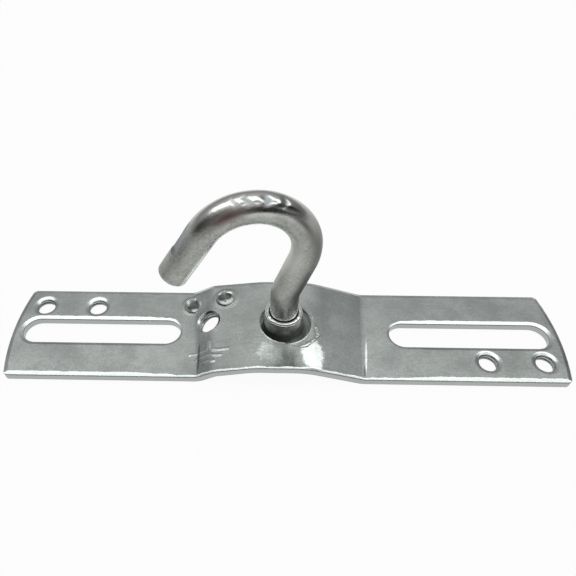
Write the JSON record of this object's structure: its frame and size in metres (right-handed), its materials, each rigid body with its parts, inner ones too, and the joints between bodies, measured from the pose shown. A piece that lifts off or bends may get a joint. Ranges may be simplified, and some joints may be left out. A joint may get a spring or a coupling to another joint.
{
  "type": "ceiling hook",
  "caption": "Zinc-plated ceiling hook: an open rod hook riveted through a flanged sleeve in the arched middle of a slotted mounting strap with tapped holes.",
  "frame": {"origin": "centre of the middle hole, on the plane of the strap's flat undersides", "axes": "+X along the strap towards the end with the tapped holes in front, +Y towards the back edge, +Z from the mounting plane towards the hook"},
  "size_m": [0.0968, 0.019, 0.0326],
  "materials": {
    "strap_zinc": "bright zinc plate on punched sheet",
    "rod_zinc": "zinc plate on bent rod, bright on top and matt inside",
    "sleeve_steel": "darker plated steel"
  },
  "bodies": {
    "root": {"mounting_strap": "strap_zinc", "hook_rod": "rod_zinc", "flanged_sleeve": "sleeve_steel"}
  },
  "joints": []
}
